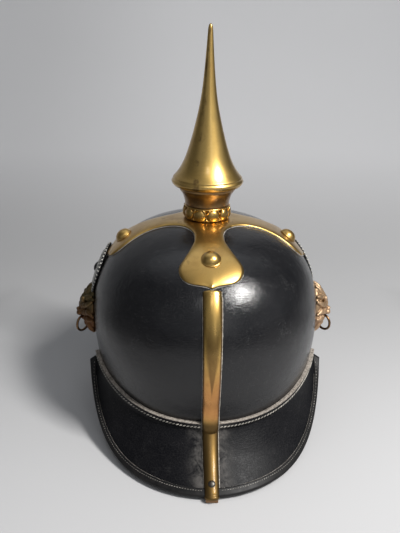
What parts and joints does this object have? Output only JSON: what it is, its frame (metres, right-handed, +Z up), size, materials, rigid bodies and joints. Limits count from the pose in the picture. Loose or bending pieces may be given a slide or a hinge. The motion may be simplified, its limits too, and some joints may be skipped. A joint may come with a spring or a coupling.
{
  "type": "spiked leather parade helmet",
  "caption": "Black leather pickelhaube with brass spike, cross base, rear spine, lion bosses with rings, cockades, visor and neck guard.",
  "frame": {"origin": "on the floor plane below the spike's axis, midway between the front edge and the rear edge", "axes": "+Z up along the spike, +Y to the visor in front, +X to the wearer's right"},
  "size_m": [0.22, 0.2815, 0.31],
  "materials": {
    "black_leather": "polished black leather with fine crackle",
    "guard_leather": "polished black leather",
    "edge_leather": "worn black leather strip",
    "brass": "aged polished brass",
    "spine_brass": "aged brass, redder near the bend",
    "trim_brass": "aged polished brass",
    "stud_brass": "aged polished brass",
    "collar_brass": "brown-toned brass",
    "boss_brass": "dark brown patina",
    "ring_brass": "dark brown patina",
    "fitting_brass": "dull brass",
    "screw_steel": "dark steel",
    "washer_leather": "plain brown leather",
    "cockade_paint": "black and silver-white paint",
    "rivet_paint": "black paint",
    "band_leather": "brown lining leather",
    "cord": "twisted cotton"
  },
  "bodies": {
    "helmet": {"shell": "black_leather", "front_visor": "black_leather", "neck_guard": "guard_leather", "guard_edging": "edge_leather", "cross_base": "brass", "spike_neck": "brass", "rear_spine": "spine_brass", "visor_trim": "trim_brass", "arm_studs": "stud_brass", "leaf_collar": "collar_brass", "lion_boss_left": "boss_brass", "lion_boss_right": "boss_brass", "arm_stud_washers": "fitting_brass", "arm_stud_nuts": "fitting_brass", "boss_nuts": "fitting_brass", "spine_nut": "fitting_brass", "crown_nut": "fitting_brass", "crown_washer": "fitting_brass", "spine_screw": "screw_steel", "cockade_left": "cockade_paint", "cockade_right": "cockade_paint", "cockade_rivets": "rivet_paint", "sweatband": "band_leather", "sweatband_cord": "cord"},
    "spike_seat": {"spike_washer": "washer_leather"},
    "spike": {"spike": "brass", "spike_stud": "brass"},
    "ring_left": {"lion_ring_left": "ring_brass"},
    "ring_right": {"lion_ring_right": "ring_brass"}
  },
  "joints": [
    {"name": "spike_lift", "type": "slide", "parent": "helmet", "child": "spike_seat", "axis": [0, 0, 1], "range_m": [0, 0.00625]},
    {"name": "spike_unscrew", "type": "hinge", "parent": "spike_seat", "child": "spike", "pos_m": [0, 0, 0.1918], "axis": [0, 0, 1], "range_deg": [0, 1800]},
    {"name": "ring_left_swing", "type": "hinge", "parent": "helmet", "child": "ring_left", "pos_m": [-0.1046, 0.002, 0.076], "axis": [0.6018, 0.7986, 0], "range_deg": [-8, 95]},
    {"name": "ring_right_swing", "type": "hinge", "parent": "helmet", "child": "ring_right", "pos_m": [0.1046, 0.002, 0.076], "axis": [0.6018, -0.7986, 0], "range_deg": [-8, 95]}
  ],
  "couplings": [
    {"joint": "spike_unscrew", "follows": "spike_lift", "rad_per_m": 5026.5}
  ]
}
